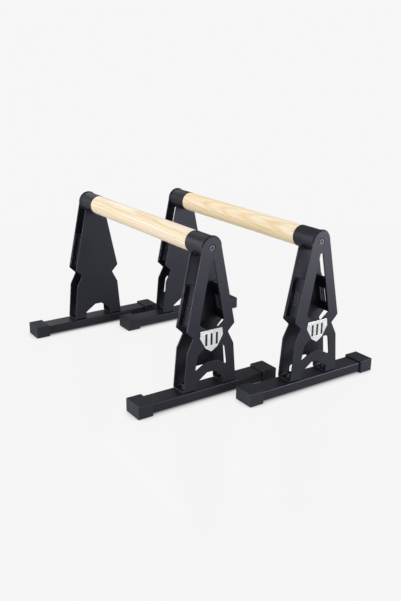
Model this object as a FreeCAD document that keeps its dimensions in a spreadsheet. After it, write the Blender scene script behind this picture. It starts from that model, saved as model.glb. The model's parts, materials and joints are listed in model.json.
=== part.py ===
"""Pair of low parallel bars (parallettes): two free-standing units, each a wooden bar on two uprights.

Frame: millimetres, +Z up, origin on the floor midway between the two units.  X runs along the bars,
with the fronts at +X.  Y runs across, with the left unit at -Y.  Each unit has a front and a rear
post.  A post is modelled in its own frame: origin on the floor under the post, +X away from the
bar's middle.  Rear posts are front posts turned half a turn about Z.
"""
import FreeCAD
import Part
import Sketcher
import math
import os
from types import SimpleNamespace

SHEET_NAME = "Sizes"

# Driving dimensions: alias, value in mm, what it is.
DIMENSIONS = (
    ("post_span", 473.8, "post centre to post centre along the bar"),
    ("unit_pitch", 201.5, "left bar axis to right bar axis"),
    ("unit_stagger", 70.8, "how far the right unit stands forward of the left one"),
    ("axis_height", 300.0, "floor to bar axis"),
    ("grip_radius", 20.6, "wooden bar"),
    ("tenon_radius", 19.1, "turned-down end of the bar inside the sleeve"),
    ("sleeve_radius", 21.2, "steel sleeve, outside"),
    ("sleeve_bore", 19.2, "steel sleeve, inside radius"),
    ("sleeve_reach", 21.0, "sleeve beyond the inner plate"),
    ("edge_break", 0.5, "small chamfer on turned edges"),
    ("sheet_gauge", 3.0, "upright's steel sheet"),
    ("bend_outer", 5.0, "outside radius of the sheet's bends"),
    ("bend_inner", 2.0, "inside radius of the sheet's bends"),
    ("post_depth", 39.0, "upright over both plates"),
    ("inner_top", 287.0, "top edge of the inner plate"),
    ("crown_radius", 20.6, "rounded top of the outer plate"),
    ("waist_half", 54.4, "plate's half width at its widest corner"),
    ("waist_height", 146.0, "height of that corner"),
    ("notch_half", 39.3, "half width at the notch"),
    ("notch_height", 131.2, "height of the notch"),
    ("shoulder_half", 52.9, "half width below the notch"),
    ("shoulder_height", 104.9, "height of the shoulder"),
    ("foot_half", 60.4, "half width of the plate at the foot"),
    ("corner_radius", 2.5, "rounding of the plate's outline corners"),
    ("window_radius", 2.0, "rounding of the window corners"),
    ("window_shift", 1.6, "both windows, how far their middle line stands off the plate's"),
    ("apex_half", 3.0, "upper window, half width at its top"),
    ("apex_height", 277.0, "upper window, top edge"),
    ("sill_half", 28.0, "upper window, half width at its lower corners"),
    ("sill_height", 155.0, "upper window, height of its lower corners"),
    ("sill_flat_half", 9.0, "upper window, half width of the flat bottom"),
    ("sill_flat_height", 141.0, "upper window, bottom edge"),
    ("lintel_dip", 100.0, "lower window, middle of the top edge"),
    ("lintel_half", 9.0, "lower window, half width of the dip"),
    ("lintel_height", 106.0, "lower window, top edge"),
    ("lintel_end", 16.0, "lower window, half width of the top edge"),
    ("jamb_half", 31.2, "lower window, half width below the top corners"),
    ("jamb_height", 95.5, "lower window, height of the side's upper end"),
    ("step_half", 36.6, "lower window, half width at the bottom"),
    ("step_height", 64.0, "lower window, height of the bottom corners"),
    ("shoulder_rise", 5.5, "lower window, how much higher its +Y shoulder is"),
    ("hump_half", 11.0, "lower window, half width of the raised bottom"),
    ("hump_height", 78.0, "lower window, height of the raised bottom"),
    ("arch_top_half", 8.0, "foot arch, half width of the flat top"),
    ("arch_top", 56.5, "foot arch, top edge"),
    ("arch_side_half", 32.0, "foot arch, half width where its sides turn down"),
    ("arch_side", 40.0, "foot arch, height of that corner"),
    ("arch_foot_half", 33.0, "foot arch, half width between the feet"),
    ("channel_gauge", 2.5, "side channel's sheet"),
    ("channel_top", 225.0, "side channel, upper end"),
    ("channel_foot", 150.0, "side channel, lower end"),
    ("channel_top_half", 36.4, "side channel, outer edge at the upper end"),
    ("channel_foot_half", 52.4, "side channel, outer edge at the lower end"),
    ("channel_recess", 11.0, "side channel, depth of the web behind its outer edge"),
    ("slot_width", 3.0, "vent slot, width"),
    ("slot_pitch", 5.6, "vent slot to vent slot"),
    ("slot_foot", 171.0, "vent slot, lower end"),
    ("slot_top", 199.0, "vent slot, upper end"),
    ("badge_gauge", 2.0, "badge thickness"),
    ("badge_shoulder_half", 24.0, "badge, half width of the top edge"),
    ("badge_top", 143.0, "badge, top edge"),
    ("badge_waist_half", 26.0, "badge, widest half width"),
    ("badge_waist", 129.0, "badge, height of the widest corner"),
    ("badge_hip_half", 13.0, "badge, half width above the tip"),
    ("badge_hip", 107.0, "badge, height of that corner"),
    ("badge_tip", 99.0, "badge, lowest point"),
    ("badge_slot_half", 2.5, "badge slot, half width"),
    ("badge_slot_pitch", 12.0, "badge slot to badge slot"),
    ("badge_slot_foot", 112.0, "badge slot, lower end"),
    ("badge_slot_top", 136.0, "badge slot, upper end"),
    ("screw_radius", 3.0, "end screw, M6 shank"),
    ("screw_hole", 3.3, "end screw's hole in the plate"),
    ("screw_head", 5.6, "end screw, countersunk head radius"),
    ("screw_cone", 2.5, "end screw, height of the head's cone"),
    ("screw_sink", 0.4, "end screw, how far the head sits below the face"),
    ("screw_seat", 7.0, "end screw, radius of the countersink at the plate's face"),
    ("screw_length", 28.0, "end screw, overall length"),
    ("screw_key", 4.0, "end screw, hexagon socket across flats"),
    ("insert_radius", 5.0, "threaded insert, outside"),
    ("insert_length", 25.0, "threaded insert"),
    ("insert_sink", 0.5, "threaded insert, how far it sits below the wood's end"),
    ("fit_gap", 0.05, "clearance on the radius of fixed parts"),
    ("tube_width", 40.0, "base tube, across its wide face"),
    ("tube_height", 20.0, "base tube, height"),
    ("tube_wall", 2.0, "base tube, wall"),
    ("tube_corner", 2.5, "base tube, outside corner radius"),
    ("base_length", 321.5, "base over both end caps"),
    ("cap_wall", 3.5, "end cap, wall"),
    ("cap_length", 31.4, "end cap, length"),
    ("cap_corner", 2.0, "end cap, rounding of its outside edges"),
    ("bolt_offset", 46.0, "foot bolt from the post's middle"),
    ("bolt_radius", 4.0, "foot bolt, M8 shank"),
    ("bolt_hole", 4.5, "foot bolt's hole in the upright"),
    ("bolt_head", 6.5, "foot bolt, head radius"),
    ("bolt_head_height", 8.0, "foot bolt, head height"),
    ("bolt_shank", 18.0, "foot bolt, length under the head"),
    ("bolt_key", 6.0, "foot bolt, hexagon socket across flats"),
    ("bolt_key_depth", 4.0, "foot bolt, socket depth"),
    ("washer_radius", 8.0, "foot washer, outside"),
    ("washer_gauge", 1.6, "foot washer, thickness"),
    ("nut_radius", 5.5, "rivet nut, body"),
    ("nut_flange", 6.5, "rivet nut, flange radius"),
    ("nut_flange_gauge", 0.6, "rivet nut, flange thickness"),
    ("nut_length", 14.0, "rivet nut, overall length"),
)


class Size:
    """A length that carries its value and the formula that gives it from the sheet's cells."""

    def __init__(self, value, formula):
        self.value = value
        self.formula = formula

    def __add__(self, other):
        other = as_size(other)
        return Size(self.value + other.value, f"({self.formula} + {other.formula})")

    def __sub__(self, other):
        other = as_size(other)
        return Size(self.value - other.value, f"({self.formula} - {other.formula})")

    def __mul__(self, other):
        other = as_size(other)
        return Size(self.value * other.value, f"({self.formula} * {other.formula})")

    def __neg__(self):
        return Size(-self.value, f"(-1 * {self.formula})")


def as_size(item):
    """A plain number becomes a size that no cell drives."""
    if isinstance(item, Size):
        return item
    return Size(float(item), repr(float(item)))


def make_sheet(doc):
    """Write the driving dimensions to the spreadsheet and return them as sizes by alias."""
    sheet = doc.addObject("Spreadsheet::Sheet", SHEET_NAME)
    sizes = SimpleNamespace()
    for row, (alias, value, note) in enumerate(DIMENSIONS, start=1):
        sheet.set(f"A{row}", alias)
        sheet.set(f"B{row}", str(value))
        sheet.set(f"C{row}", note)
        sheet.setAlias(f"B{row}", alias)
        setattr(sizes, alias, Size(value, f"{SHEET_NAME}.{alias}"))
    doc.recompute()
    return sizes


# ---- sketches ----------------------------------------------------------------------------------

def new_body(doc, label):
    body = doc.addObject("PartDesign::Body", label)
    body.Label = label
    return body


def origin_feature(body, role):
    """One of the body's own origin planes or axes."""
    for feature in body.Origin.OriginFeatures:
        if feature.Role == role:
            return feature
    raise ValueError(f"{body.Label} has no {role}")


def new_sketch(body, role, name, lift=None):
    """A sketch on an origin plane, moved along the plane's normal by lift."""
    sketch = body.newObject("Sketcher::SketchObject", name)
    sketch.AttachmentSupport = [(origin_feature(body, role), "")]
    sketch.MapMode = "FlatFace"
    if lift is not None:
        sketch.setExpression("AttachmentOffset.Base.z", lift.formula)
    return sketch


def vector(point):
    return FreeCAD.Vector(as_size(point[0]).value, as_size(point[1]).value, 0)


def pin(sketch, element, end, point):
    """Bind one point of a sketch element to two sizes, measured from the sketch's origin."""
    for kind, coordinate in zip(("DistanceX", "DistanceY"), point):
        size = as_size(coordinate)
        index = sketch.addConstraint(Sketcher.Constraint(kind, -1, 1, element, end, size.value))
        sketch.setExpression(f"Constraints[{index}]", size.formula)


def draw_polygon(sketch, points):
    """A closed outline with every corner bound to the sheet."""
    first = sketch.GeometryCount
    following_points = points[1:] + points[:1]
    for start, end in zip(points, following_points):
        sketch.addGeometry(Part.LineSegment(vector(start), vector(end)), False)
    for step, point in enumerate(points):
        line = first + step
        following = first + (step + 1) % len(points)
        sketch.addConstraint(Sketcher.Constraint("Coincident", line, 2, following, 1))
        pin(sketch, line, 1, point)


def draw_circle(sketch, centre, radius):
    circle = Part.Circle(vector(centre), FreeCAD.Vector(0, 0, 1), radius.value)
    element = sketch.addGeometry(circle, False)
    pin(sketch, element, 3, centre)
    index = sketch.addConstraint(Sketcher.Constraint("Radius", element, radius.value))
    sketch.setExpression(f"Constraints[{index}]", radius.formula)


def mirrored(half):
    """Close a half outline, given from top to bottom, over the line x = 0."""
    other_half = [(-as_size(x), y) for x, y in reversed(half) if as_size(x).value != 0]
    return list(half) + other_half


def rectangle(low_x, high_x, low_y, high_y):
    return [(low_x, low_y), (high_x, low_y), (high_x, high_y), (low_x, high_y)]


# ---- features ----------------------------------------------------------------------------------

def pad(body, sketch, length, midplane=False, reverse=False):
    feature = body.newObject("PartDesign::Pad", "Pad")
    feature.Profile = sketch
    feature.setExpression("Length", length.formula)
    feature.Midplane = midplane
    feature.Reversed = reverse
    body.Document.recompute()
    return feature


def pocket(body, sketch, length=None, midplane=False, reverse=False):
    """Cut the sketch out of the body, through everything if no length is given."""
    before = body.Shape.Volume
    feature = body.newObject("PartDesign::Pocket", "Pocket")
    feature.Profile = sketch
    if length is None:
        feature.Type = "ThroughAll"
    else:
        feature.setExpression("Length", length.formula)
    feature.Midplane = midplane
    feature.Reversed = reverse
    body.Document.recompute()
    if body.Shape.Volume > before - 1e-6:
        raise RuntimeError(f"a pocket in {body.Label} cuts nothing")
    return feature


def revolve(body, sketch):
    """A solid of revolution about the sketch's horizontal axis."""
    feature = body.newObject("PartDesign::Revolution", "Revolution")
    feature.Profile = sketch
    feature.ReferenceAxis = (sketch, ["H_Axis"])
    feature.Angle = 360.0
    body.Document.recompute()
    return feature


def edges_along(shape, axis, spots, tolerance=0.02):
    """Names of the straight edges parallel to an axis that pass through the given spots.

    A spot holds the two coordinates that stay the same along the edge, in x, y, z order.
    """
    others = [index for index in range(3) if index != axis]
    wanted = [tuple(as_size(part).value for part in spot) for spot in spots]
    names = []
    for number, edge in enumerate(shape.Edges, start=1):
        if not isinstance(edge.Curve, Part.Line) and not isinstance(edge.Curve, Part.LineSegment):
            continue
        if abs(abs(edge.Curve.Direction[axis]) - 1.0) > 1e-6:
            continue
        middle = edge.CenterOfMass
        place = tuple(middle[index] for index in others)
        if any(math.dist(place, spot) < tolerance for spot in wanted):
            names.append(f"Edge{number}")
    return names


def round_edges(body, axis, spots, radius):
    """Fillet the edges that run along an axis through the given spots."""
    base = body.Tip
    names = edges_along(base.Shape, axis, spots)
    if len(names) < len(spots):
        raise RuntimeError(f"{body.Label}: {len(names)} of {len(spots)} edges found to round")
    feature = body.newObject("PartDesign::Fillet", "Fillet")
    feature.Base = (base, names)
    feature.setExpression("Radius", radius.formula)
    body.Document.recompute()
    return feature


def repeat_along(body, original, sketch, pitch, count):
    """Repeat a feature along the sketch's horizontal axis."""
    feature = body.newObject("PartDesign::LinearPattern", "LinearPattern")
    feature.Originals = [original]
    feature.Direction = (sketch, ["H_Axis"])
    feature.setExpression("Length", (pitch * (count - 1)).formula)
    feature.Occurrences = count
    body.Tip = feature
    body.Document.recompute()
    return feature


def cut_hexagon(body, role, name, centre, across_flats, depth, lift, reverse):
    """A hexagon key socket, cut from a plane at lift."""
    sketch = new_sketch(body, role, name, lift)
    corner = across_flats * (0.5 / math.cos(math.pi / 6))
    points = []
    for step in range(6):
        angle = math.radians(60 * step)
        points.append((as_size(centre[0]) + corner * math.cos(angle),
                       as_size(centre[1]) + corner * math.sin(angle)))
    draw_polygon(sketch, points)
    pocket(body, sketch, depth, reverse=reverse)


def place(body, position, half_turn=False):
    """Put a sub-part at its position in the object's frame, turned about Z if asked."""
    angle = 180.0 if half_turn else 0.0
    start = FreeCAD.Vector(*(as_size(part).value for part in position))
    body.Placement = FreeCAD.Placement(start, FreeCAD.Rotation(FreeCAD.Vector(0, 0, 1), angle))
    for letter, part in zip("xyz", position):
        body.setExpression(f"Placement.Base.{letter}", as_size(part).formula)


# ---- upright -----------------------------------------------------------------------------------

def tube_top(d):
    return d.cap_wall + d.tube_height


def draw_plate_outline(sketch, d):
    """The plate's outline: crown arc, straight sides, notch, shoulder and foot."""
    rise = d.axis_height.value - d.waist_height.value
    reach = math.hypot(d.waist_half.value, rise)
    lean = math.atan2(d.waist_half.value, rise) - math.asin(d.crown_radius.value / reach)
    centre = FreeCAD.Vector(0, d.axis_height.value, 0)
    crown = Part.Circle(centre, FreeCAD.Vector(0, 0, 1), d.crown_radius.value)
    arc = sketch.addGeometry(Part.ArcOfCircle(crown, lean, math.pi - lean), False)
    side = [
        (d.waist_half, d.waist_height),
        (d.notch_half, d.notch_height),
        (d.shoulder_half, d.shoulder_height),
        (d.foot_half, tube_top(d)),
        (d.foot_half, as_size(0)),
    ]
    corners = side + [(-x, y) for x, y in reversed(side)]
    arc_start = sketch.getPoint(arc, 1)
    arc_end = sketch.getPoint(arc, 2)
    starts = [arc_start] + [vector(corner) for corner in corners]
    ends = starts[1:] + [arc_end]
    for start, end in zip(starts, ends):
        sketch.addGeometry(Part.LineSegment(start, end), False)
    last = arc + len(starts)
    for line in range(arc + 1, last):
        sketch.addConstraint(Sketcher.Constraint("Coincident", line, 2, line + 1, 1))
    for step, corner in enumerate(corners):
        pin(sketch, arc + 2 + step, 1, corner)
    pin(sketch, arc, 3, (as_size(0), d.axis_height))
    sketch.addConstraint(Sketcher.Constraint("Tangent", arc, 1, arc + 1, 1))
    sketch.addConstraint(Sketcher.Constraint("Tangent", arc, 2, last, 2))
    index = sketch.addConstraint(Sketcher.Constraint("Radius", arc, d.crown_radius.value))
    sketch.setExpression(f"Constraints[{index}]", d.crown_radius.formula)


def fold_sheet(body, d):
    """The bent sheet before cutting: a tall outer plate, a floor and a lower inner plate."""
    outer = d.post_depth * 0.5
    floor = tube_top(d)
    sketch = new_sketch(body, "XZ_Plane", "FoldProfile")
    draw_polygon(sketch, [
        (-outer, floor),
        (outer, floor),
        (outer, d.axis_height + d.crown_radius * 2),
        (outer - d.sheet_gauge, d.axis_height + d.crown_radius * 2),
        (outer - d.sheet_gauge, floor + d.sheet_gauge),
        (-outer + d.sheet_gauge, floor + d.sheet_gauge),
        (-outer + d.sheet_gauge, d.inner_top),
        (-outer, d.inner_top),
    ])
    pad(body, sketch, d.foot_half * 2 + 2, midplane=True)
    inside = outer - d.sheet_gauge
    round_edges(body, 1, [(-outer, floor), (outer, floor)], d.bend_outer)
    raised = floor + d.sheet_gauge
    round_edges(body, 1, [(-inside, raised), (inside, raised)], d.bend_inner)


def cut_plate_outline(body, d):
    sketch = new_sketch(body, "YZ_Plane", "PlateOutline")
    beyond = d.foot_half + 20
    draw_polygon(sketch, rectangle(-beyond, beyond, as_size(-10), d.axis_height + 60))
    draw_plate_outline(sketch, d)
    pocket(body, sketch, midplane=True)
    corners = [
        (d.waist_half, d.waist_height),
        (d.notch_half, d.notch_height),
        (d.shoulder_half, d.shoulder_height),
    ]
    both_sides = corners + [(-x, y) for x, y in corners]
    round_edges(body, 0, both_sides, d.corner_radius)


def moved_aside(outline, shift):
    return [(as_size(x) + shift, y) for x, y in outline]


def upper_window(d):
    outline = mirrored([
        (d.apex_half, d.apex_height),
        (d.sill_half, d.sill_height),
        (d.sill_flat_half, d.sill_flat_height),
    ])
    return moved_aside(outline, d.window_shift)


def lower_window(d):
    """A low opening with a dipped top edge, a raised bottom and one shoulder above the other."""
    top = [
        (-d.lintel_half, d.lintel_height),
        (as_size(0), d.lintel_dip),
        (d.lintel_half, d.lintel_height),
    ]
    high_side = [
        (d.lintel_end + d.shoulder_rise * 2, d.lintel_height),
        (d.jamb_half, d.jamb_height + d.shoulder_rise),
    ]
    bottom = [
        (d.step_half, d.step_height),
        (d.hump_half, d.hump_height),
        (-d.hump_half, d.hump_height),
        (-d.step_half, d.step_height),
    ]
    low_side = [(-d.jamb_half, d.jamb_height), (-d.lintel_end, d.lintel_height)]
    return moved_aside(top + high_side + bottom + low_side, d.window_shift)


def foot_arch(d):
    return mirrored([
        (d.arch_top_half, d.arch_top),
        (d.arch_side_half, d.arch_side),
        (d.arch_foot_half, as_size(0)),
    ])


def cut_windows(body, d):
    """Two windows in the outer plate and the arch between the feet."""
    for name, outline in (("UpperWindow", upper_window(d)), ("LowerWindow", lower_window(d))):
        sketch = new_sketch(body, "YZ_Plane", name)
        draw_polygon(sketch, outline)
        pocket(body, sketch, reverse=True)
        round_edges(body, 0, outline, d.window_radius)
    arch = foot_arch(d)
    sketch = new_sketch(body, "YZ_Plane", "FootArch")
    draw_polygon(sketch, arch)
    pocket(body, sketch, midplane=True)
    inside_corners = [corner for corner in arch if as_size(corner[1]).value > 0]
    round_edges(body, 0, inside_corners, d.corner_radius)


def cut_upright_holes(body, d):
    """Saddle for the sleeve, countersunk hole for the end screw, and holes for the foot bolts."""
    centre = (as_size(0), d.axis_height)
    saddle = new_sketch(body, "YZ_Plane", "Saddle")
    draw_circle(saddle, centre, d.sleeve_radius)
    pocket(body, saddle)
    hole = new_sketch(body, "YZ_Plane", "ScrewHole")
    draw_circle(hole, centre, d.screw_hole)
    pocket(body, hole, reverse=True)
    sink = body.newObject("PartDesign::SubtractiveCone", "Countersink")
    sink.AttachmentSupport = [(origin_feature(body, "YZ_Plane"), "")]
    sink.MapMode = "FlatFace"
    cone_height = d.screw_cone + d.screw_sink
    sink.setExpression("AttachmentOffset.Base.y", d.axis_height.formula)
    sink.setExpression("AttachmentOffset.Base.z", (d.post_depth * 0.5 - cone_height).formula)
    sink.setExpression("Radius1", d.screw_hole.formula)
    sink.setExpression("Radius2", d.screw_seat.formula)
    sink.setExpression("Height", cone_height.formula)
    bolts = new_sketch(body, "XY_Plane", "BoltHoles")
    for side in (1, -1):
        draw_circle(bolts, (as_size(0), d.bolt_offset * side), d.bolt_hole)
    pocket(body, bolts, tube_top(d) + d.sheet_gauge * 2, reverse=True)


def make_upright(doc, d, label):
    body = new_body(doc, label)
    fold_sheet(body, d)
    cut_plate_outline(body, d)
    cut_windows(body, d)
    cut_upright_holes(body, d)
    return body


# ---- side channel ------------------------------------------------------------------------------

def make_channel(doc, d, label):
    """A short channel between the plates, on their +Y edges, open outwards, its web slotted."""
    body = new_body(doc, label)
    inside = d.post_depth - d.sheet_gauge * 2
    outline = new_sketch(body, "YZ_Plane", "ChannelOutline")
    draw_polygon(outline, [
        (d.channel_top_half, d.channel_top),
        (d.channel_foot_half, d.channel_foot),
        (d.channel_foot_half - d.channel_recess - d.channel_gauge, d.channel_foot),
        (d.channel_top_half - d.channel_recess - d.channel_gauge, d.channel_top),
    ])
    pad(body, outline, inside, midplane=True)
    lean = (d.channel_foot_half.value - d.channel_top_half.value)
    lean = lean / (d.channel_top.value - d.channel_foot.value)
    past = 5.0
    hollow = new_sketch(body, "YZ_Plane", "ChannelHollow")
    draw_polygon(hollow, [
        (d.channel_top_half + past, d.channel_top + past),
        (d.channel_foot_half + past, d.channel_foot - past),
        (d.channel_foot_half - d.channel_recess + past * lean, d.channel_foot - past),
        (d.channel_top_half - d.channel_recess - past * lean, d.channel_top + past),
    ])
    pocket(body, hollow, inside - d.channel_gauge * 2, midplane=True)
    slot = new_sketch(body, "XZ_Plane", "VentSlot")
    first = d.slot_pitch * -1.5
    half_width = d.slot_width * 0.5
    outline = rectangle(first - half_width, first + half_width, d.slot_foot, d.slot_top)
    draw_polygon(slot, outline)
    cut = pocket(body, slot, midplane=True)
    repeat_along(body, cut, slot, d.slot_pitch, 4)
    return body


# ---- bar, sleeves and their fastening ----------------------------------------------------------

def sleeve_inner_end(d):
    """How far from the bar's middle each sleeve ends."""
    return d.post_span * 0.5 - d.post_depth * 0.5 - d.sleeve_reach


def sleeve_outer_end(d):
    return d.post_span * 0.5 + d.post_depth * 0.5 - d.sheet_gauge


def make_grip_bar(doc, d, label):
    """The wooden bar: turned-down tenons at both ends, bored for the threaded inserts."""
    body = new_body(doc, label)
    shoulder = sleeve_inner_end(d) - d.fit_gap
    end = sleeve_outer_end(d) - d.fit_gap
    bore = d.insert_radius + d.fit_gap
    bore_end = end - d.insert_length - d.insert_sink
    half = [
        (bore_end, as_size(0)),
        (bore_end, bore),
        (end, bore),
        (end, d.tenon_radius),
        (shoulder, d.tenon_radius),
        (shoulder, d.grip_radius - d.edge_break),
        (shoulder - d.edge_break, d.grip_radius),
    ]
    profile = half + [(-x, r) for x, r in reversed(half)]
    sketch = new_sketch(body, "XZ_Plane", "BarProfile")
    draw_polygon(sketch, profile)
    revolve(body, sketch)
    return body


def make_sleeve(doc, d, label):
    """The steel sleeve in the post's frame, from the outer plate through the inner plate's saddle."""
    body = new_body(doc, label)
    start = d.post_depth * -0.5 - d.sleeve_reach
    end = d.post_depth * 0.5 - d.sheet_gauge
    sketch = new_sketch(body, "XZ_Plane", "SleeveProfile")
    draw_polygon(sketch, [
        (start, d.sleeve_bore),
        (start, d.sleeve_radius - d.edge_break),
        (start + d.edge_break, d.sleeve_radius),
        (end, d.sleeve_radius),
        (end, d.sleeve_bore),
    ])
    revolve(body, sketch)
    return body


def make_end_screw(doc, d, label):
    """M6 countersunk socket screw along X, its head's face just below the plate's outer face."""
    body = new_body(doc, label)
    face = d.post_depth * 0.5 - d.screw_sink
    tip = face - d.screw_length
    sketch = new_sketch(body, "XZ_Plane", "ScrewProfile")
    draw_polygon(sketch, [
        (tip, as_size(0)),
        (tip, d.screw_radius - d.edge_break),
        (tip + d.edge_break, d.screw_radius),
        (face - d.screw_cone, d.screw_radius),
        (face - 0.3, d.screw_head),
        (face, d.screw_head),
        (face, as_size(0)),
    ])
    revolve(body, sketch)
    centre = (as_size(0), as_size(0))
    cut_hexagon(body, "YZ_Plane", "KeySocket", centre, d.screw_key, d.screw_key * 0.6, face, False)
    return body


def make_insert(doc, d, label):
    """Brass threaded insert in the bar's end."""
    body = new_body(doc, label)
    outer_end = d.post_depth * 0.5 - d.sheet_gauge - d.fit_gap - d.insert_sink
    sketch = new_sketch(body, "XZ_Plane", "InsertProfile")
    bore = d.screw_radius + d.fit_gap
    draw_polygon(sketch, rectangle(outer_end - d.insert_length, outer_end, bore, d.insert_radius))
    revolve(body, sketch)
    return body


def make_badge(doc, d, label):
    """A plain bright badge with three slots, bonded to the outer plate's cross bar."""
    body = new_body(doc, label)
    sketch = new_sketch(body, "YZ_Plane", "BadgeOutline", d.post_depth * 0.5)
    draw_polygon(sketch, mirrored([
        (d.badge_shoulder_half, d.badge_top),
        (d.badge_waist_half, d.badge_waist),
        (d.badge_hip_half, d.badge_hip),
        (as_size(0), d.badge_tip),
    ]))
    pad(body, sketch, d.badge_gauge)
    slot = new_sketch(body, "YZ_Plane", "BadgeSlot", d.post_depth * 0.5)
    middle = -d.badge_slot_pitch
    outline = rectangle(middle - d.badge_slot_half, middle + d.badge_slot_half,
                        d.badge_slot_foot, d.badge_slot_top)
    draw_polygon(slot, outline)
    cut = pocket(body, slot, reverse=True)
    repeat_along(body, cut, slot, d.badge_slot_pitch, 3)
    return body


# ---- base --------------------------------------------------------------------------------------

def make_base_tube(doc, d, label):
    """Rectangular steel tube across the unit, bored from above for the rivet nuts."""
    body = new_body(doc, label)
    half_width = d.tube_width * 0.5
    low = d.cap_wall
    high = tube_top(d)
    section = new_sketch(body, "XZ_Plane", "TubeSection")
    outline = rectangle(-half_width, half_width, low, high)
    draw_polygon(section, outline)
    pad(body, section, d.base_length - d.cap_wall * 2, midplane=True)
    round_edges(body, 1, outline, d.tube_corner)
    bore = new_sketch(body, "XZ_Plane", "TubeBore")
    wall = d.tube_wall
    draw_polygon(bore, rectangle(-half_width + wall, half_width - wall, low + wall, high - wall))
    pocket(body, bore, midplane=True)
    for name, radius, depth in (("NutHoles", d.nut_radius + d.fit_gap, d.tube_wall * 2),
                                ("FlangeSeats", d.nut_flange + d.fit_gap, d.nut_flange_gauge)):
        sketch = new_sketch(body, "XY_Plane", name, high)
        for side in (1, -1):
            draw_circle(sketch, (as_size(0), d.bolt_offset * side), radius)
        pocket(body, sketch, depth)
    return body


def make_cap(doc, d, label):
    """Moulded end cap and foot, in the post's frame at the +Y end of the base tube."""
    body = new_body(doc, label)
    half_width = d.tube_width * 0.5 + d.cap_wall
    height = d.tube_height + d.cap_wall * 2
    end = d.base_length * 0.5
    block = new_sketch(body, "XZ_Plane", "CapSection", -(end - d.cap_length))
    outline = rectangle(-half_width, half_width, as_size(0), height)
    draw_polygon(block, outline)
    pad(body, block, d.cap_length, reverse=True)
    round_edges(body, 1, outline, d.cap_corner)
    hollow = new_sketch(body, "XZ_Plane", "CapHollow", -(end - d.cap_length))
    half_tube = d.tube_width * 0.5
    outline = rectangle(-half_tube, half_tube, d.cap_wall, tube_top(d))
    draw_polygon(hollow, outline)
    pocket(body, hollow, d.cap_length - d.cap_wall)
    return body


# ---- foot fasteners: two of each in one node ---------------------------------------------------

def make_pair(doc, d, label, rings):
    """Two equal turned parts, each a stack of rings (bore, radius, low, high), at both feet."""
    body = new_body(doc, label)
    body.AllowCompound = True
    for side in (1, -1):
        for bore, radius, low, high in rings:
            sketch = new_sketch(body, "XY_Plane", "Ring", low)
            centre = (as_size(0), d.bolt_offset * side)
            draw_circle(sketch, centre, radius)
            if bore is not None:
                draw_circle(sketch, centre, bore)
            pad(body, sketch, high - low)
    return body


def washer_seat(d):
    return tube_top(d) + d.sheet_gauge


def make_foot_bolts(doc, d, label):
    """Two M8 socket-head screws."""
    seat = washer_seat(d) + d.washer_gauge
    top = seat + d.bolt_head_height
    body = make_pair(doc, d, label, [
        (None, d.bolt_head, seat, top),
        (None, d.bolt_radius, seat - d.bolt_shank, seat),
    ])
    for side in (1, -1):
        centre = (as_size(0), d.bolt_offset * side)
        cut_hexagon(body, "XY_Plane", "KeySocket", centre, d.bolt_key, d.bolt_key_depth, top, False)
    return body


def make_foot_washers(doc, d, label):
    seat = washer_seat(d)
    bore = d.bolt_radius + d.fit_gap * 8
    return make_pair(doc, d, label, [(bore, d.washer_radius, seat, seat + d.washer_gauge)])


def make_rivet_nuts(doc, d, label):
    """Two flush rivet nuts in the base tube's upper wall."""
    top = tube_top(d)
    under_flange = top - d.nut_flange_gauge
    bore = d.bolt_radius + d.fit_gap
    return make_pair(doc, d, label, [
        (bore, d.nut_flange, under_flange, top),
        (bore, d.nut_radius, top - d.nut_length, under_flange),
    ])


# ---- assembly ----------------------------------------------------------------------------------

POST_PARTS = (
    ("upright", make_upright, False),
    ("badge", make_badge, False),
    ("sleeve", make_sleeve, True),
    ("end_screw", make_end_screw, True),
    ("insert", make_insert, True),
    ("base_tube", make_base_tube, False),
    ("foot_bolts", make_foot_bolts, False),
    ("foot_washers", make_foot_washers, False),
    ("rivet_nuts", make_rivet_nuts, False),
)


def build_post(doc, d, unit, end, unit_x, unit_y):
    """Everything on one post.  A rear post is turned half a turn about Z."""
    front = end == "front"
    post_x = unit_x + d.post_span * (0.5 if front else -0.5)
    parts = []
    for name, make, on_axis in POST_PARTS:
        body = make(doc, d, f"{unit}_{end}_{name}")
        height = d.axis_height if on_axis else as_size(0)
        place(body, (post_x, unit_y, height), half_turn=not front)
        parts.append(body)
    plus_y_side = "outboard" if unit == "right" else "inboard"
    minus_y_side = "inboard" if unit == "right" else "outboard"
    for side, half_turn in ((plus_y_side, False), (minus_y_side, True)):
        for name, make in (("channel", make_channel), ("cap", make_cap)):
            body = make(doc, d, f"{unit}_{end}_{side}_{name}")
            place(body, (post_x, unit_y, as_size(0)), half_turn=half_turn)
            parts.append(body)
    return parts


def build_unit(doc, d, unit, direction):
    """One free-standing unit: its bar and its two posts."""
    unit_x = d.unit_stagger * (0.5 * direction)
    unit_y = d.unit_pitch * (0.5 * direction)
    bar = make_grip_bar(doc, d, f"{unit}_grip_bar")
    place(bar, (unit_x, unit_y, d.axis_height))
    parts = [bar]
    for end in ("front", "rear"):
        parts += build_post(doc, d, unit, end, unit_x, unit_y)
    return parts


def check(doc, parts):
    """Stop before writing anything if a feature failed or a sub-part has no valid solid."""
    for item in doc.Objects:
        if "Invalid" in item.State or "Error" in item.State:
            raise RuntimeError(f"{item.Label} failed: {item.State}")
    for part in parts:
        if part.Shape.isNull() or not part.Shape.isValid() or not part.Shape.Solids:
            raise RuntimeError(f"{part.Label} has no valid solid")


def main():
    doc = FreeCAD.newDocument("ParallelBars")
    d = make_sheet(doc)
    parts = build_unit(doc, d, "left", -1) + build_unit(doc, d, "right", 1)
    doc.recompute()
    check(doc, parts)
    os.makedirs("parts", exist_ok=True)
    for part in parts:
        part.Shape.exportStep(f"parts/{part.Label}.step")


main()
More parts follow.
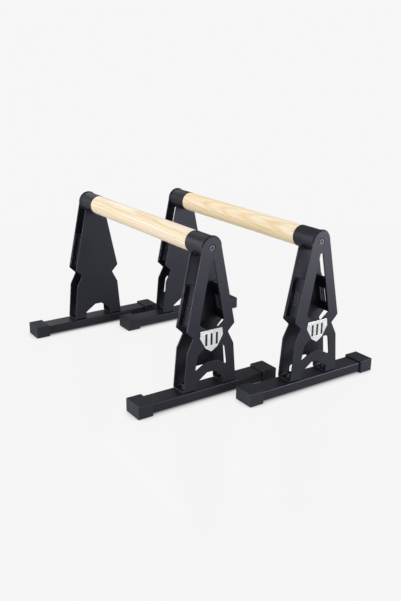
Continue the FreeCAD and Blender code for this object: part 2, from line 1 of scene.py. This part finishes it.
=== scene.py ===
"""Looks for the pair of low parallel bars: finished materials, rounded edges, welds and the studio.

Everything is in metres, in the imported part's frame: +Z up, X along the bars with the fronts at +X,
Y across from the left unit to the right unit.
"""

import json
import math

import bmesh
import bpy
from mathutils import Matrix, Vector

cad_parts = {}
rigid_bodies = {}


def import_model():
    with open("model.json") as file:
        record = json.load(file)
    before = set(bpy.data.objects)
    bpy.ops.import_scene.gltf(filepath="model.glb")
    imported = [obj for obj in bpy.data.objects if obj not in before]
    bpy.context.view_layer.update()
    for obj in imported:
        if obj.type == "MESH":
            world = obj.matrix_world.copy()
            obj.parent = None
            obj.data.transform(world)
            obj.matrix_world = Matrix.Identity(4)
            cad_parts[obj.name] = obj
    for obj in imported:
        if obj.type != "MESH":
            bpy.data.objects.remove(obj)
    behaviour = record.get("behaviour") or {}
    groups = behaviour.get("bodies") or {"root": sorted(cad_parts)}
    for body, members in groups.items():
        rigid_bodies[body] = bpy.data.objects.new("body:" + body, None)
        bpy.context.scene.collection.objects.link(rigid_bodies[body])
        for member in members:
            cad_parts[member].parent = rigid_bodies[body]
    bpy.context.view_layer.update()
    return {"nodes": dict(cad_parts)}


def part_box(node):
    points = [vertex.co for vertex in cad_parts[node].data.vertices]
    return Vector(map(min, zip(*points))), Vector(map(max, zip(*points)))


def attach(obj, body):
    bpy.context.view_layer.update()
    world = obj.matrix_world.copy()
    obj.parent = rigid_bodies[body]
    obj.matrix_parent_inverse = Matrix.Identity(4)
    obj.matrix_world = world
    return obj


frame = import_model()
NODES = frame["nodes"]
MM = 0.001
UNITS = ("left", "right")
ENDS = ("front", "rear")

for name in ("Cube", "Light", "Camera"):
    if name in bpy.data.objects:
        bpy.data.objects.remove(bpy.data.objects[name])


# ---- shader graphs -----------------------------------------------------------------------------

class Graph:
    """A material's node tree, with short calls for the nodes used here."""

    def __init__(self, name):
        self.material = bpy.data.materials.new(name)
        self.material.use_nodes = True
        self.tree = self.material.node_tree
        self.shader = self.tree.nodes["Principled BSDF"]

    def add(self, kind, inputs=None, **settings):
        node = self.tree.nodes.new(kind)
        for key, value in settings.items():
            setattr(node, key, value)
        for key, value in (inputs or {}).items():
            self.feed(node, key, value)
        return node

    def feed(self, node, key, value):
        """Give an input either a constant or another node's output."""
        if isinstance(value, bpy.types.NodeSocket):
            self.tree.links.new(value, node.inputs[key])
        else:
            node.inputs[key].default_value = value

    def set(self, key, value):
        """Give the surface shader an input."""
        self.feed(self.shader, key, value)

    def place(self, scale=(1, 1, 1), shift=(0, 0, 0)):
        """Object coordinates in metres, scaled and shifted."""
        coordinates = self.add("ShaderNodeTexCoord").outputs["Object"]
        inputs = {"Vector": coordinates, "Scale": scale, "Location": shift}
        return self.add("ShaderNodeMapping", inputs).outputs["Vector"]

    def noise(self, vector, scale=1.0, detail=3.0, roughness=0.6):
        inputs = {"Vector": vector, "Scale": scale, "Detail": detail, "Roughness": roughness}
        return self.add("ShaderNodeTexNoise", inputs).outputs["Fac"]

    def math(self, operation, first, second=0.0, third=0.0):
        node = self.add("ShaderNodeMath", {0: first, 1: second, 2: third}, operation=operation)
        return node.outputs[0]

    def rescale(self, value, low, high, new_low=0.0, new_high=1.0):
        """Spread values between low and high over another range, and hold the rest at its ends."""
        inputs = {"Value": value, "From Min": low, "From Max": high,
                  "To Min": new_low, "To Max": new_high}
        return self.add("ShaderNodeMapRange", inputs).outputs["Result"]

    def blend(self, share, first, second):
        """A colour between two colours."""
        node = self.add("ShaderNodeMix", data_type="RGBA")
        self.feed(node, "Factor", share)
        sockets = [socket for socket in node.inputs if socket.type == "RGBA"]
        for socket, value in zip(sockets, (first, second)):
            if isinstance(value, bpy.types.NodeSocket):
                self.tree.links.new(value, socket)
            else:
                socket.default_value = value
        return [socket for socket in node.outputs if socket.type == "RGBA"][0]

    def bump(self, height, distance, strength, normal=None):
        node = self.add("ShaderNodeBump", {"Height": height, "Distance": distance,
                                           "Strength": strength})
        if normal is not None:
            self.feed(node, "Normal", normal)
        return node.outputs["Normal"]


def rgb(red, green, blue):
    """A linear colour from display values of 0 to 255."""
    def linear(value):
        share = value / 255
        return share / 12.92 if share <= 0.04045 else ((share + 0.055) / 1.055) ** 2.4
    return (linear(red), linear(green), linear(blue), 1.0)


def shaded(colour, factor):
    """A colour made lighter or darker."""
    return tuple(channel * factor for channel in colour[:3]) + (1.0,)


# ---- materials ---------------------------------------------------------------------------------

COOL_SHEEN = (0.82, 0.83, 1.0, 1)
CAP_SHEEN = (0.80, 0.84, 1.0, 1)
WOOD_PORE = rgb(186, 142, 92)

# How the growth rings wander: the noise's scale along x, y and z, and the span it moves a ring over.
RING_BEND_SCALE = (7, 26, 26)
RING_BEND = 9.0 * MM

# One year's growth from pale early wood to dark late wood, as (share of the year, darkness).
SEASON_TONES = ((0.42, 0.12), (0.72, 1.0), (0.85, 0.5))

# Scales of the wood's marks along x, y and z: all are long and thin, and run with the bar.
STREAK_SCALE = (4, 380, 380)
FIBRE_SCALE = (12, 1300, 1300)
PORE_SCALE = (110, 2300, 2300)


def powder_coat(name, base, roughness, wear_and_highlight=0.0):
    """Matt fine-textured powder coat.  The last argument is how far the coat lightens in noisy patches:
    partly rubbed wear, partly painted highlight.
    """
    graph = Graph(name)
    cloudy = graph.noise(graph.place(), scale=14.0, roughness=0.55)
    wear_and_highlight_noise = graph.noise(graph.place(shift=(3, 1, 2)), scale=90.0, detail=4.0, roughness=0.65)
    coat = graph.blend(graph.rescale(cloudy, 0.35, 0.65), shaded(base, 0.86), base)
    rubbing_and_highlight = graph.rescale(wear_and_highlight_noise, 0.45, 0.7, 0.0, wear_and_highlight)
    graph.set("Base Color", graph.blend(rubbing_and_highlight, coat, shaded(base, 2.2)))
    graph.set("Roughness", graph.rescale(cloudy, 0.3, 0.7, roughness - 0.04, roughness + 0.05))
    grain = graph.noise(graph.place(), scale=1500.0, detail=2.0)
    peel = graph.noise(graph.place(), scale=260.0, detail=1.0, roughness=0.5)
    fine = graph.bump(grain, 0.05 * MM, 0.5)
    graph.set("Normal", graph.bump(peel, 0.08 * MM, 0.25, fine))
    graph.set("Specular IOR Level", 0.45)
    graph.set("Specular Tint", COOL_SHEEN)
    return graph.material


def ring_radius(graph, bar, pith, tilt):
    """How far a point of a grip bar is from its tree's middle, with the wander of real rings."""
    across = graph.math("SUBTRACT", bar.outputs["Y"], pith[0])
    up = graph.math("SUBTRACT", bar.outputs["Z"], pith[1])
    squares = graph.math("ADD", graph.math("MULTIPLY", across, across),
                         graph.math("MULTIPLY", up, up))
    leaned = graph.math("MULTIPLY_ADD", bar.outputs["X"], tilt, graph.math("SQRT", squares))
    bend = graph.noise(graph.place(scale=RING_BEND_SCALE), detail=2.0, roughness=0.45)
    return graph.math("MULTIPLY_ADD", graph.math("SUBTRACT", bend, 0.5), RING_BEND, leaned)


def ash_wood(name, pith, tilt, year, tones):
    """Pale lacquered ash, cut lengthwise.

    The growth rings are shells about a line parallel to the bar: pith is that line's (y, z), tilt is
    how much a ring's radius changes along the bar, and year is the width of one ring.  tones are the
    colours of its pale wood, its warmer streaks and its late-wood lines.
    """
    pale, warm, late = tones
    graph = Graph(name)
    bar = graph.add("ShaderNodeSeparateXYZ", {0: graph.place()})
    season = graph.math("FRACT", graph.math("MULTIPLY", ring_radius(graph, bar, pith, tilt), 1 / year))
    ring = graph.add("ShaderNodeValToRGB", {"Fac": season})
    stops = ring.color_ramp
    stops.interpolation = "EASE"
    stops.elements[0].position, stops.elements[0].color = 0.0, (0.0, 0.0, 0.0, 1)
    stops.elements[1].position, stops.elements[1].color = 1.0, (0.0, 0.0, 0.0, 1)
    for position, level in SEASON_TONES:
        stops.elements.new(position).color = (level, level, level, 1)
    streak = graph.noise(graph.place(scale=STREAK_SCALE))
    fibre = graph.noise(graph.place(scale=FIBRE_SCALE))
    pore = graph.noise(graph.place(scale=PORE_SCALE), detail=1.0, roughness=0.5)
    pores = graph.math("MULTIPLY", graph.rescale(pore, 0.60, 0.70),
                       graph.rescale(season, 0.6, 0.9, 0.1, 0.8))
    ground = graph.blend(graph.rescale(streak, 0.38, 0.62), pale, warm)
    late_wood = graph.math("MULTIPLY", ring.outputs["Color"], graph.rescale(fibre, 0.2, 0.8, 0.35, 0.8))
    grained = graph.blend(late_wood, ground, late)
    lined = graph.blend(graph.rescale(fibre, 0.52, 0.75, 0.0, 0.35), grained, late)
    graph.set("Base Color", graph.blend(graph.math("MULTIPLY", pores, 0.45), lined, WOOD_PORE))
    graph.set("Roughness", graph.rescale(fibre, 0.3, 0.7, 0.40, 0.50))
    grooves = graph.bump(graph.math("SUBTRACT", 1.0, pores), 0.05 * MM, 0.4)
    graph.set("Normal", graph.bump(fibre, 0.03 * MM, 0.3, grooves))
    graph.set("Specular IOR Level", 0.35)
    graph.set("Coat Weight", 0.12)
    graph.set("Coat Roughness", 0.3)
    return graph.material


def moulded_rubber(name, base):
    """Matt moulded end caps with a fine spark-eroded grain."""
    graph = Graph(name)
    cloudy = graph.noise(graph.place(), scale=30.0)
    graph.set("Base Color", graph.blend(graph.rescale(cloudy, 0.4, 0.7), base, shaded(base, 1.3)))
    graph.set("Roughness", graph.rescale(cloudy, 0.3, 0.7, 0.55, 0.66))
    grain = graph.add("ShaderNodeTexVoronoi", {"Vector": graph.place(), "Scale": 1300.0})
    graph.set("Normal", graph.bump(grain.outputs["Distance"], 0.05 * MM, 0.4))
    graph.set("Specular IOR Level", 0.5)
    graph.set("Specular Tint", CAP_SHEEN)
    return graph.material


def metal(name, base, roughness, brush=(600, 600, 600), plating=1.0):
    """Bare or plated metal.

    brush is the scale of its scratches along x, y and z, and plating is how mirror-like the metal is.
    """
    graph = Graph(name)
    lines = graph.noise(graph.place(scale=brush))
    cloudy = graph.noise(graph.place(), scale=60.0)
    graph.set("Base Color", graph.blend(graph.rescale(cloudy, 0.3, 0.7), shaded(base, 0.8), base))
    graph.set("Metallic", plating)
    graph.set("Roughness", graph.rescale(lines, 0.25, 0.75, roughness - 0.08, roughness + 0.1))
    graph.set("Normal", graph.bump(lines, 0.03 * MM, 0.4))
    return graph.material


ASH_PALE = (rgb(254, 246, 232), rgb(246, 221, 180), rgb(234, 198, 136))
ASH_YELLOW = (rgb(255, 244, 221), rgb(251, 222, 172), rgb(240, 199, 130))
COAT = powder_coat("powder_coat", rgb(16, 16, 25), roughness=0.45)
# A lighter copy of the coat for the rounded edges, lightening further in patches: painted highlight on
# the edges, partly rubbed wear.
COAT_EDGE_WEAR_AND_HIGHLIGHT = powder_coat("powder_coat_edge_wear_and_highlight", rgb(27, 27, 36), roughness=0.4, wear_and_highlight=0.5)
RUBBER = moulded_rubber("cap_rubber", rgb(17, 17, 26))
BADGE = metal("badge_steel", rgb(246, 246, 247), 0.22, brush=(60, 60, 2400), plating=0.6)
BLACK_STEEL = metal("black_oxide", rgb(62, 60, 62), 0.42)
SCREW_STEEL = metal("screw_steel", rgb(84, 84, 92), 0.45, plating=0.5)
ZINC = metal("zinc_plate", rgb(150, 150, 154), 0.4)
BRASS = metal("brass", rgb(205, 170, 104), 0.3)
WOODS = {
    "left": ash_wood("ash_left", pith=(-0.075, 0.215), tilt=0.016, year=4.6 * MM, tones=ASH_PALE),
    "right": ash_wood("ash_right", pith=(0.149, 0.267), tilt=0.055, year=4.2 * MM, tones=ASH_YELLOW),
}
FINISHES = {
    "cap": RUBBER,
    "badge": BADGE,
    "end_screw": SCREW_STEEL,
    "rivet_nuts": ZINC,
    "insert": BRASS,
    "foot_bolts": BLACK_STEEL,
    "foot_washers": BLACK_STEEL,
}


def materials_for(node_name):
    """A CAD node's own finish and its finish on rounded edges.  Steel sheet and tube are coated; their
    rounded edges get a lighter coat, a painted highlight with some rubbed wear.
    """
    if node_name.endswith("grip_bar"):
        wood = WOODS[node_name.split("_")[0]]
        return wood, wood
    for ending, finish in FINISHES.items():
        if node_name.endswith(ending):
            return finish, finish
    return COAT, COAT_EDGE_WEAR_AND_HIGHLIGHT


# ---- CAD nodes: rounded edges and smooth shading -----------------------------------------------

SAME_POINT = 0.001 * MM
FLAT_ANGLE = math.radians(0.3)
SHARP_ANGLE = math.radians(28)
EDGE_SEGMENTS = 2
FACE_WEIGHT = 70
EDGE_RADIUS = {
    "upright": 0.5 * MM,
    "channel": 0.4 * MM,
    "base_tube": 0.3 * MM,
    "cap": 1.0 * MM,
    "badge": 0.4 * MM,
    "sleeve": 0.3 * MM,
    "grip_bar": 0.3 * MM,
    "end_screw": 0.12 * MM,
    "foot_bolts": 0.3 * MM,
    "foot_washers": 0.2 * MM,
}


def finish_node(node_name, node):
    """Round a CAD node's sharp edges with modifiers and give it its materials."""
    surface, edge = materials_for(node_name)
    node.data.materials.clear()
    node.data.materials.append(surface)
    node.data.materials.append(edge)
    node.data.polygons.foreach_set("use_smooth", [True] * len(node.data.polygons))
    node.data.polygons.foreach_set("material_index", [0] * len(node.data.polygons))
    weld = node.modifiers.new("weld", "WELD")
    weld.merge_threshold = SAME_POINT
    flat = node.modifiers.new("flat_faces", "DECIMATE")
    flat.decimate_type = "DISSOLVE"
    flat.angle_limit = FLAT_ANGLE
    radius = next((size for ending, size in EDGE_RADIUS.items() if node_name.endswith(ending)), 0.0)
    if radius:
        bevel = node.modifiers.new("rounded_edges", "BEVEL")
        bevel.width = radius
        bevel.segments = EDGE_SEGMENTS
        bevel.limit_method = "ANGLE"
        bevel.angle_limit = SHARP_ANGLE
        bevel.use_clamp_overlap = False
        # The rounded edges take the second material; on coated steel that is the lighter edge coat, a
        # painted highlight with some rubbed wear.
        bevel.material = 1
    normals = node.modifiers.new("normals", "WEIGHTED_NORMAL")
    normals.keep_sharp = False
    normals.weight = FACE_WEIGHT


for node_name, node in NODES.items():
    finish_node(node_name, node)
    # The bright badges would show as white spots in the floor's faint reflection.
    node.visible_glossy = not node_name.endswith("badge")


# ---- weld beads --------------------------------------------------------------------------------

BEAD_RADIUS = 1.7 * MM
BEAD_STEP = 0.4 * MM
BEAD_SIDES = 10

# A ripple's length along the bead and its height as a share of the bead's radius.
RIPPLE_LENGTH = 2.4 * MM
RIPPLE_HEIGHT = 0.13

# The area of a bead's open end, as a share of the area of its full section.
END_SIZE = 0.05

# How far the ring bead's middle is inside the sleeve's end, and the saddle beads' off their plate.
RING_OVERLAP = 0.35 * BEAD_RADIUS
SADDLE_STANDOFF = 0.2 * BEAD_RADIUS

# The saddle beads run this far to each side of the sleeve's lowest line (degrees).
SADDLE_ANGLE = 50.0
STRAIGHT_DOWN = 270.0


def arc_path(centre, radius, start, stop):
    """Points on an arc in a plane of constant x, from one angle to another (degrees)."""
    span = math.radians(stop - start)
    count = max(2, round(radius * span / BEAD_STEP))
    turns = [math.radians(start) + span * step / count for step in range(count + 1)]
    return [centre + Vector((0, math.cos(turn), math.sin(turn))) * radius for turn in turns]


def add_bead(mesh, path, closed=False):
    """Sweep a rippled round bead along a path in a plane of constant x, and round off open ends."""
    rings = []
    total = len(path) * BEAD_STEP
    for index, point in enumerate(path):
        before = path[index - 1] if index or closed else path[0]
        after = path[(index + 1) % len(path)] if index + 1 < len(path) or closed else path[-1]
        ahead = (after - before).normalized()
        side = ahead.cross(Vector((1, 0, 0))).normalized()
        other = side.cross(ahead)
        length = index * BEAD_STEP
        radius = BEAD_RADIUS * (1 + RIPPLE_HEIGHT * math.cos(length * math.tau / RIPPLE_LENGTH))
        if not closed:
            from_end = min(length, total - length) / BEAD_RADIUS
            radius *= math.sqrt(min(1.0, from_end + END_SIZE))
        ring = []
        for corner in range(BEAD_SIDES):
            angle = math.tau * corner / BEAD_SIDES
            outward = side * math.cos(angle) + other * math.sin(angle)
            ring.append(mesh.verts.new(point + outward * radius))
        rings.append(ring)
    pairs = list(zip(rings, rings[1:]))
    if closed:
        pairs.append((rings[-1], rings[0]))
    else:
        mesh.faces.new(rings[0])
        mesh.faces.new(rings[-1][::-1])
    for ring, following in pairs:
        for corner in range(BEAD_SIDES):
            beside = (corner + 1) % BEAD_SIDES
            mesh.faces.new((ring[corner], following[corner], following[beside], ring[beside]))


def add_welds(unit, end):
    """The beads of one post: a ring round the sleeve's outer end, and a saddle bead under the sleeve
    on each face of the inner plate.
    """
    post = f"{unit}_{end}"
    sleeve_low, sleeve_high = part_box(f"{post}_sleeve")
    upright_low, upright_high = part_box(f"{post}_upright")
    outward = 1 if end == "front" else -1
    radius = (sleeve_high[2] - sleeve_low[2]) / 2
    middle_y = (sleeve_low[1] + sleeve_high[1]) / 2
    middle_z = (sleeve_low[2] + sleeve_high[2]) / 2
    sleeve_end = sleeve_high[0] if outward > 0 else sleeve_low[0]
    outer_face = upright_high[0] if outward > 0 else upright_low[0]
    inner_face = upright_low[0] if outward > 0 else upright_high[0]
    gauge = abs(outer_face - sleeve_end)
    mesh = bmesh.new()
    middle = Vector((sleeve_end - outward * RING_OVERLAP, middle_y, middle_z))
    add_bead(mesh, arc_path(middle, radius, 0, 360)[:-1], closed=True)
    for saddle_x in (inner_face - outward * SADDLE_STANDOFF,
                     inner_face + outward * (gauge + SADDLE_STANDOFF)):
        middle = Vector((saddle_x, middle_y, middle_z))
        add_bead(mesh, arc_path(middle, radius, STRAIGHT_DOWN - SADDLE_ANGLE,
                                STRAIGHT_DOWN + SADDLE_ANGLE))
    bmesh.ops.recalc_face_normals(mesh, faces=mesh.faces)
    data = bpy.data.meshes.new(f"{post}_welds")
    mesh.to_mesh(data)
    mesh.free()
    welds = bpy.data.objects.new(f"{post}_welds", data)
    bpy.context.scene.collection.objects.link(welds)
    data.polygons.foreach_set("use_smooth", [True] * len(data.polygons))
    data.materials.append(COAT)
    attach(welds, f"{unit}_unit")


for unit in UNITS:
    for end in ENDS:
        add_welds(unit, end)


# ---- studio ------------------------------------------------------------------------------------

BACKDROP = rgb(246, 246, 246)
OBJECT_MIDDLE = (0, 0, 0.2)

# The floor glows by itself; it shows in the object's sheens at FLOOR_IN_SHEEN of the backdrop.
FLOOR_HALF = 6.0
FLOOR_GLOW = 0.955
FLOOR_IN_SHEEN = 0.55
FLOOR_BOUNCE = (0.95, 0.95, 0.95, 1)
FLOOR_SHADE = (0.03, 0.03, 0.03, 1)

# How near a surface must be to darken the floor's glow with a painted contact shadow, and where the
# floor turns into plain backdrop.
CONTACT_REACH = 0.03
FADE_START, FADE_END = 0.7, 1.6

ROOM_LIGHT = (0.96, 0.98, 1.0, 1)
ROOM_STRENGTH = 0.92
ROOM_IN_SHEEN = 0.31

# The camera stands forward and to the left, a little above the bars.
CAMERA_PLACE = Vector((1.2782, -0.8456, 0.6408))
CAMERA_YAW = math.radians(145.75)
CAMERA_PITCH = math.radians(-18.83)
CAMERA_ROLL = math.radians(0.61)
CAMERA_LENS_MM = 44.27
CAMERA_SENSOR_MM = 36.0

SOFTBOXES = (
    # name, place, target, size, watts, light it gives
    ("right_of_front", (1.2, 1.6, 0.7), OBJECT_MIDDLE, (1.0, 1.0), 15, "both"),
    ("front_fill", (1.8, 0.9, 0.5), OBJECT_MIDDLE, (0.8, 0.8), 13, "body"),
    ("front_sheen", (1.05, 0.65, 0.3), (0.2, 0.05, 0.15), (0.9, 0.6), 7.5, "sheen"),
    ("left_sheen", (0.2, -1.3, 0.25), (0.1, 0.0, 0.1), (1.0, 0.4), 29, "sheen"),
    ("low_left", (0.2, -2.2, 0.35), OBJECT_MIDDLE, (1.2, 0.6), 3, "both"),
    ("left_of_rear", (-1.5, -1.5, 0.9), OBJECT_MIDDLE, (1.0, 1.0), 9, "both"),
    ("rear", (-2.0, 0.3, 1.2), OBJECT_MIDDLE, (1.2, 1.2), 4, "both"),
)


def floor_material():
    """A glowing white floor with faint lit shade, a faint reflection and a painted contact shadow near
    the object; plain backdrop far from the object.
    """
    graph = Graph("floor_white")
    ray = graph.add("ShaderNodeLightPath").outputs
    near = graph.add("ShaderNodeAmbientOcclusion", {"Distance": CONTACT_REACH}, samples=12)
    # The glow dims where surfaces are near: a painted contact shadow, which the floor also carries
    # where it shows in the object's sheens.
    lit = graph.rescale(near.outputs["AO"], 0.0, 0.75, 0.12, 1.0)

    def glowing(strength):
        node = graph.add("ShaderNodeEmission", {"Color": BACKDROP, "Strength": strength})
        return node.outputs[0]

    def mixed(share, first, second):
        return graph.add("ShaderNodeMixShader", {0: share, 1: first, 2: second}).outputs[0]

    glow = glowing(graph.math("MULTIPLY", lit, FLOOR_GLOW))
    shade = graph.add("ShaderNodeBsdfDiffuse", {"Color": FLOOR_SHADE})
    gloss = graph.add("ShaderNodeBsdfGlossy", {"Color": FLOOR_SHADE, "Roughness": 0.1})
    matt = graph.add("ShaderNodeAddShader", {0: glow, 1: shade.outputs[0]})
    close = graph.add("ShaderNodeAddShader", {0: matt.outputs[0], 1: gloss.outputs[0]})
    distance = graph.add("ShaderNodeVectorMath", {0: graph.place()}, operation="LENGTH")
    far = graph.rescale(distance.outputs["Value"], FADE_START, FADE_END)
    seen = mixed(far, close.outputs[0], glowing(1.0))
    mirrored = glowing(graph.math("MULTIPLY", lit, FLOOR_IN_SHEEN))
    bounce = graph.add("ShaderNodeBsdfDiffuse", {"Color": FLOOR_BOUNCE})
    unseen = mixed(ray["Is Glossy Ray"], bounce.outputs[0], mirrored)
    output = next(node for node in graph.tree.nodes if node.type == "OUTPUT_MATERIAL")
    graph.feed(output, "Surface", mixed(ray["Is Camera Ray"], unseen, seen))
    return graph.material


def make_floor():
    """A wide pale floor that fades into the backdrop."""
    mesh = bpy.data.meshes.new("floor")
    corners = [(-FLOOR_HALF, -FLOOR_HALF, 0), (FLOOR_HALF, -FLOOR_HALF, 0),
               (FLOOR_HALF, FLOOR_HALF, 0), (-FLOOR_HALF, FLOOR_HALF, 0)]
    mesh.from_pydata(corners, [], [(0, 1, 2, 3)])
    floor = bpy.data.objects.new("floor", mesh)
    bpy.context.scene.collection.objects.link(floor)
    floor.data.materials.append(floor_material())
    return floor


def make_world():
    """Soft white light from all round, dimmer in the sheens; the camera sees the plain backdrop."""
    world = bpy.data.worlds.new("studio")
    bpy.context.scene.world = world
    world.use_nodes = True
    tree = world.node_tree
    tree.nodes.clear()
    ray = tree.nodes.new("ShaderNodeLightPath").outputs

    def background(colour, strength):
        node = tree.nodes.new("ShaderNodeBackground")
        node.inputs["Color"].default_value = colour
        node.inputs["Strength"].default_value = strength
        return node.outputs[0]

    shown = background(ROOM_LIGHT, ROOM_STRENGTH)
    for kind, special in (("Is Glossy Ray", background(ROOM_LIGHT, ROOM_IN_SHEEN)),
                          ("Is Camera Ray", background(BACKDROP, 1.0))):
        mix = tree.nodes.new("ShaderNodeMixShader")
        tree.links.new(ray[kind], mix.inputs[0])
        tree.links.new(shown, mix.inputs[1])
        tree.links.new(special, mix.inputs[2])
        shown = mix.outputs[0]
    output = tree.nodes.new("ShaderNodeOutputWorld")
    tree.links.new(shown, output.inputs["Surface"])


def make_camera():
    ahead = Vector((math.cos(CAMERA_YAW) * math.cos(CAMERA_PITCH),
                    math.sin(CAMERA_YAW) * math.cos(CAMERA_PITCH), math.sin(CAMERA_PITCH)))
    right = ahead.cross(Vector((0, 0, 1))).normalized()
    up = right.cross(ahead)
    tilted_right = right * math.cos(CAMERA_ROLL) + up * math.sin(CAMERA_ROLL)
    tilted_up = up * math.cos(CAMERA_ROLL) - right * math.sin(CAMERA_ROLL)
    camera = bpy.data.cameras.new("camera")
    camera.lens = CAMERA_LENS_MM
    camera.sensor_width = CAMERA_SENSOR_MM
    camera_object = bpy.data.objects.new("camera", camera)
    bpy.context.scene.collection.objects.link(camera_object)
    turn = Matrix((tilted_right, tilted_up, -ahead)).transposed()
    camera_object.matrix_world = Matrix.Translation(CAMERA_PLACE) @ turn.to_4x4()
    bpy.context.scene.camera = camera_object


def add_softbox(name, place, target, size, power, gives, lit):
    """An area light on the objects of one collection.  gives is "both", "body" or "sheen" light."""
    lamp = bpy.data.lights.new(name, "AREA")
    lamp.shape = "RECTANGLE"
    lamp.size, lamp.size_y = size
    lamp.energy = power
    lamp_object = bpy.data.objects.new(name, lamp)
    bpy.context.scene.collection.objects.link(lamp_object)
    lamp_object.location = place
    lamp_object.visible_camera = False
    lamp_object.visible_glossy = gives != "body"
    lamp_object.visible_diffuse = gives != "sheen"
    lamp_object.light_linking.receiver_collection = lit
    away = Vector(place) - Vector(target)
    lamp_object.rotation_euler = away.to_track_quat("Z", "Y").to_euler()


floor = make_floor()
make_world()
make_camera()
lit_things = bpy.data.collections.new("lit_by_softboxes")
for thing in bpy.context.scene.objects:
    if thing.type == "MESH" and thing is not floor:
        lit_things.objects.link(thing)
for name, place, target, size, watts, gives in SOFTBOXES:
    add_softbox(name, place, target, size, watts, gives, lit_things)
bpy.context.scene.view_settings.view_transform = "Standard"
